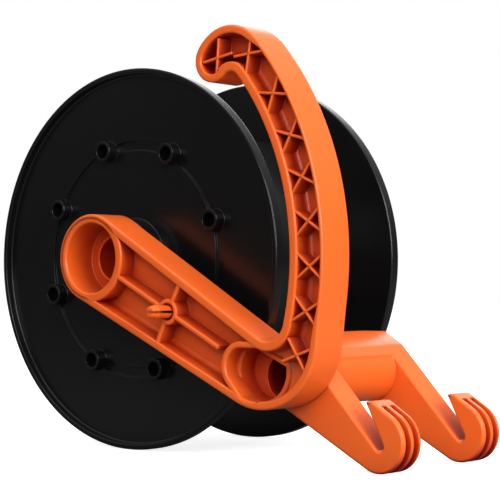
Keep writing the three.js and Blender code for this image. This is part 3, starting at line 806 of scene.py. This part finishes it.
knobSpot = (0.0, -98.0)
knobBoss = {"radius": 10.0, "face": 69.8, "hole": 3.3}
bossProfile = roundProfile([
    (knobBoss["hole"], spool["inner"] + 1.5, 0), (knobBoss["radius"] + 1.2, spool["inner"] + 1.5, 0),
    (knobBoss["radius"] + 0.4, spool["inner"] + spool["web"] + 1, 0.8),
    (knobBoss["radius"], knobBoss["face"], 0.9),
    (knobBoss["hole"], knobBoss["face"], 0.4),
])
farFlange = joined("far_flange_moulding",
                   [flangeDisc("farDisc"), newObject("knobBoss", [lathe(bossProfile, 64, *knobSpot)])])
settle(farFlange, "spool", blackPlastic, ["far_flange"])
print("flanges made")

drumEnd = spool["inner"] - 0.3
drumProfile = roundProfile([
    (spool["drum"], -drumEnd, 0.5), (spool["drum"] - 0.25, 0, 0), (spool["drum"], drumEnd, 0.5),
    (spool["drum"] - spool["drumWall"], drumEnd, 0.5), (spool["drum"] - spool["drumWall"], -drumEnd, 0.5),
])
postRadius = spool["spigot"] + 0.3 + 1.8
postProfile = roundProfile([
    (spool["spigot"] + 0.3, -drumEnd, 0.2), (postRadius, -drumEnd, 0.3), (postRadius, drumEnd, 0.3),
    (spool["spigot"] + 0.3, drumEnd, 0.2), (spool["spigot"] + 0.3, drumEnd - 11.3, 0),
    (2.3, drumEnd - 11.3, 0),
    (2.3, -drumEnd + 11.3, 0), (spool["spigot"] + 0.3, -drumEnd + 11.3, 0),
])
posts = ringPattern(newObject("posts", [lathe(postProfile, 32)]), 8, spool["bossCircle"], lock["angle"],
                    45, blackPlastic)
drum = joined("drum_moulding", [newObject("drumShell", [lathe(drumProfile, 224)]), posts])
settle(drum, "spool", blackPlastic, ["winding_drum"])
print("drum made")

# clamp screws: one detailed screw, repeated round both flanges
screw = {"head": 3.9, "headHeight": 2.8, "shank": 2.0, "seat": 48.0, "length": 22.5, "recess": 1.3,
         "recessArm": 2.2, "recessWidth": 0.9}


def panScrew(s, segments=32):
    profile = roundProfile([
        (0, s["seat"] - s["length"], 0), (s["shank"] - 1.2, s["seat"] - s["length"], 0.3),
        (s["shank"], s["seat"] - s["length"] + 2.4, 0.4),
        (s["shank"], s["seat"], 0.1), (s["head"], s["seat"], 0.3),
        (s["head"], s["seat"] + s["headHeight"] * 0.45, 0.8),
        (s["head"] * 0.55, s["seat"] + s["headHeight"] * 0.96, 1.4), (0, s["seat"] + s["headHeight"], 0),
    ])
    body = newObject("screw", [lathe(profile, segments)])
    top = s["seat"] + s["headHeight"]
    arms = []
    for a, b in (((-s["recessArm"], 0), (s["recessArm"], 0)), ((0, -s["recessArm"]), (0, s["recessArm"]))):
        arms.append(newObject("recess", [slab(barOutline(a, b, s["recessWidth"]), top - s["recess"],
                                              top + 1, 0.05)]))
    return carve(body, arms)


def screwRing():
    return ringPattern(panScrew(screw), 8, spool["bossCircle"], lock["angle"], 45, zincSteel)


farScrews = settle(screwRing(), "spool", zincSteel,
                   ["far_flange_screw_%d" % i for i in range(1, 9)])
farScrews.name = "far_flange_screws"
nearScrews = settle(turnedRound(screwRing()), "spool", zincSteel,
                    ["near_flange_screw_%d" % i for i in range(1, 9)])
nearScrews.name = "near_flange_screws"

# bushes, washers and the cap of the axle

bearing = {"axle": 21.3, "bush": 23.7, "collar": 26.2, "bushFrom": 44.2, "collarFrom": 70.7,
           "collarTo": 72.5}
bushProfile = roundProfile([
    (bearing["axle"], bearing["bushFrom"], 0.4), (bearing["bush"], bearing["bushFrom"], 0.5),
    (bearing["bush"], bearing["collarFrom"], 0.2),
    (bearing["collar"], bearing["collarFrom"], 0.5), (bearing["collar"], bearing["collarTo"], 0.5),
    (bearing["axle"], bearing["collarTo"], 0.4),
])
settle(newObject("far_bush_moulding", [lathe(bushProfile, 96)]), "spool", whitePlastic,
       ["far_bush"])
settle(turnedRound(newObject("near_bush_moulding", [lathe(bushProfile, 96)])), "spool", whitePlastic,
       ["near_bush"])


def washer(w):
    return roundProfile([(w["bore"], w["from"], w["inEdge"]), (w["radius"], w["from"], w["outEdge"]),
                         (w["radius"], w["to"], w["outEdge"]), (w["bore"], w["to"], w["inEdge"])], 3)


thrustWasher = {"bore": 21.3, "radius": 26.2, "from": -74.0, "to": -72.8, "inEdge": 0.3, "outEdge": 0.4}
thrustRing = newObject("thrust_washer_ring", [lathe(washer(thrustWasher), 96)])
settle(thrustRing, "frame", zincSteel, ["thrust_washer"])
capProfile = roundProfile([
    (3.3, 72.8, 0.2), (26.2, 72.8, 0.5), (26.2, 74.9, 1.0), (23.7, 76.8, 1.6), (12, 76.8, 0.6),
    (11.2, 76.0, 0.6),
    (9.2, 76.0, 0.5), (8.4, 76.8, 0.6), (3.3, 76.8, 0.3),
])
settle(newObject("axle_cap_moulding", [lathe(capProfile, 96)]), "frame", blackPlastic,
       ["axle_cap"])
capScrew = {"head": 6.5, "headHeight": 4.0, "shank": 3.0, "seat": 77.1, "length": 17.0, "recess": 2.0,
            "recessArm": 3.4, "recessWidth": 1.4}
capScrewObject = panScrew(capScrew, 48)
capScrewObject.name = "axle_cap_screw_steel"
settle(capScrewObject, "frame", zincSteel, ["axle_cap_screw"])
print("bearings made")

# winding knob on its shoulder screw

knob = {"start": 71.1, "length": 58.0, "waist": 11.5, "radius": 14.0, "hole": 4.3, "recess": 9.0,
        "recessDepth": 8.0}
knobEnd = knob["start"] + knob["length"]
knobSeat = knobEnd - knob["recessDepth"]
knobProfile = roundProfile([
    (knob["hole"], knob["start"], 0.3), (knob["waist"], knob["start"], 1.2),
    (knob["waist"] + 0.4, knob["start"] + 20, 8),
    (knob["radius"] - 0.5, knob["start"] + 41, 8), (knob["radius"], knobEnd - 8, 4),
    (knob["radius"] - 1.4, knobEnd, 2.2),
    (knob["recess"], knobEnd, 0.5), (knob["recess"], knobSeat, 0.4), (knob["hole"], knobSeat, 0.3),
], 6)
settle(newObject("winding_knob_moulding", [lathe(knobProfile, 96, *knobSpot)]), "knob", blackPlastic,
       ["winding_knob"])
plugProfile = roundProfile([
    (0, knobEnd - 2, 0), (8.7, knobEnd - 2, 0.3), (8.7, knobEnd - 0.3, 0.5),
    (5.5, knobEnd - 0.3, 0.5), (5.0, knobEnd - 0.8, 0.4), (0, knobEnd - 0.8, 0),
])
settle(newObject("knob_cap_moulding", [lathe(plugProfile, 64, *knobSpot)]), "knob", blackPlastic,
       ["knob_cap"])
shoulderProfile = roundProfile([
    (0, 58.8, 0), (2, 58.8, 0.3), (3, 60.8, 0.3), (3, 70.1, 0.1), (4, 70.1, 0.3), (4, knobSeat + 0.3, 0.1),
    (7.5, knobSeat + 0.3, 0.4), (7.5, knobSeat + 2.6, 0.8), (6.2, knobSeat + 3.8, 0.6),
    (0, knobSeat + 3.8, 0),
])
settle(newObject("knob_shoulder_screw_steel", [lathe(shoulderProfile, 48, *knobSpot)]), "spool",
       zincSteel, ["knob_shoulder_screw"])
knobWasher = {"bore": 4.3, "radius": 9.5, "from": 70.1, "to": 71.1 - 0.3, "inEdge": 0.2, "outEdge": 0.3}
knobWasherRing = newObject("knob_washer_steel", [lathe(washer(knobWasher), 48, *knobSpot)])
settle(knobWasherRing, "spool", zincSteel, ["knob_washer"])
print("knob made")

# stage: floor, lights, camera

stage = {"floorSize": 12.0, "floorColor": (0.7, 0.7, 0.7, 1), "floorGlow": 0.8, "backLight": 1.0}
floorMesh = bpy.data.meshes.new("floor")
half = stage["floorSize"] / 2
floorMesh.from_pydata([(-half, -half, 0), (half, -half, 0), (half, half, 0), (-half, half, 0)], [],
                      [(0, 1, 2, 3)])
floor = bpy.data.objects.new("floor", floorMesh)
bpy.context.scene.collection.objects.link(floor)
floorMaterial = bpy.data.materials.new("paleFloor")
floorMaterial.use_nodes = True
floorShader = floorMaterial.node_tree.nodes["Principled BSDF"]
floorShader.inputs["Base Color"].default_value = stage["floorColor"]
floorShader.inputs["Roughness"].default_value = 0.8
floorShader.inputs["Specular IOR Level"].default_value = 0.2
floorNodes, floorLinks = floorMaterial.node_tree.nodes, floorMaterial.node_tree.links
# what the reel sees of the floor, so its black stays black
dimFloor = floorNodes.new("ShaderNodeBsdfDiffuse")
dimFloor.inputs["Color"].default_value = (0.16, 0.16, 0.16, 1)
paleGlow = floorNodes.new("ShaderNodeEmission")
paleGlow.inputs["Color"].default_value = (1, 1, 1, 1)
paleGlow.inputs["Strength"].default_value = stage["floorGlow"]
bright = floorNodes.new("ShaderNodeAddShader")
floorLinks.new(floorShader.outputs[0], bright.inputs[0])
floorLinks.new(paleGlow.outputs[0], bright.inputs[1])
floorRays = floorNodes.new("ShaderNodeLightPath")
floorMix = floorNodes.new("ShaderNodeMixShader")
floorLinks.new(floorRays.outputs["Is Camera Ray"], floorMix.inputs[0])
floorLinks.new(dimFloor.outputs[0], floorMix.inputs[1])
floorLinks.new(bright.outputs[0], floorMix.inputs[2])
floorLinks.new(floorMix.outputs[0], floorNodes["Material Output"].inputs["Surface"])
floorMesh.materials.append(floorMaterial)


def areaLight(name, spot, target, size, power, color=(1, 1, 1)):
    data = bpy.data.lights.new(name, "AREA")
    data.shape = "RECTANGLE"
    data.size, data.size_y = size
    data.energy = power
    data.color = color
    light = bpy.data.objects.new(name, data)
    light.location = spot
    light.rotation_euler = (Vector(target) - Vector(spot)).to_track_quat("-Z", "Y").to_euler()
    bpy.context.scene.collection.objects.link(light)


middle = (0.02, 0.0, 0.13)
areaLight("keyLight", (1.75, -0.35, 0.75), middle, (1.1, 1.1), 34)
areaLight("frontLight", (0.9, -1.6, 0.8), middle, (1.0, 1.0), 17)
areaLight("topLight", (0.1, 0.2, 1.9), middle, (1.4, 1.4), 13)
areaLight("backLight", (-0.9, 1.7, 1.0), middle, (1.4, 1.0), 10)

world = bpy.data.worlds.new("studio")
bpy.context.scene.world = world
world.use_nodes = True
worldNodes, worldLinks = world.node_tree.nodes, world.node_tree.links
worldNodes.clear()
direction = worldNodes.new("ShaderNodeTexCoord").outputs["Generated"]
split = worldNodes.new("ShaderNodeSeparateXYZ")
worldLinks.new(direction, split.inputs[0])
height = worldNodes.new("ShaderNodeMapRange")
height.inputs["From Min"].default_value = 0.05
height.inputs["From Max"].default_value = 0.9
height.inputs["To Min"].default_value = 0.06
height.inputs["To Max"].default_value = 0.7
worldLinks.new(split.outputs["Z"], height.inputs["Value"])
softSky = worldNodes.new("ShaderNodeBackground")
worldLinks.new(height.outputs["Result"], softSky.inputs["Strength"])
whiteSky = worldNodes.new("ShaderNodeBackground")
whiteSky.inputs["Color"].default_value = (1, 1, 1, 1)
whiteSky.inputs["Strength"].default_value = stage["backLight"]
softSky.inputs["Color"].default_value = (1, 1, 1, 1)
rays = worldNodes.new("ShaderNodeLightPath")
chooser = worldNodes.new("ShaderNodeMixShader")
skyOut = worldNodes.new("ShaderNodeOutputWorld")
worldLinks.new(rays.outputs["Is Camera Ray"], chooser.inputs["Fac"])
worldLinks.new(softSky.outputs[0], chooser.inputs[1])
worldLinks.new(whiteSky.outputs[0], chooser.inputs[2])
worldLinks.new(chooser.outputs[0], skyOut.inputs[0])
bpy.context.scene.view_settings.view_transform = "Standard"
bpy.context.scene.view_settings.look = "None"

view = {"azimuth": 40.55, "elevation": -1.15, "eye": (770.086, -842.365, -16.247), "lens": 119.9}
azimuth, elevation = math.radians(view["azimuth"]), math.radians(view["elevation"])
towards = -Vector((math.sin(azimuth) * math.cos(elevation), -math.cos(azimuth) * math.cos(elevation),
                   math.sin(elevation)))
cameraData = bpy.data.cameras.new("camera")
cameraData.sensor_width = 36
cameraData.lens = view["lens"]
cameraData.clip_start, cameraData.clip_end = 0.05, 50
camera = bpy.data.objects.new("camera", cameraData)
camera.location = spoolCentre + Vector(view["eye"]) * mm
camera.rotation_euler = towards.to_track_quat("-Z", "Y").to_euler()
bpy.context.scene.collection.objects.link(camera)
bpy.context.scene.camera = camera
print("stage made")
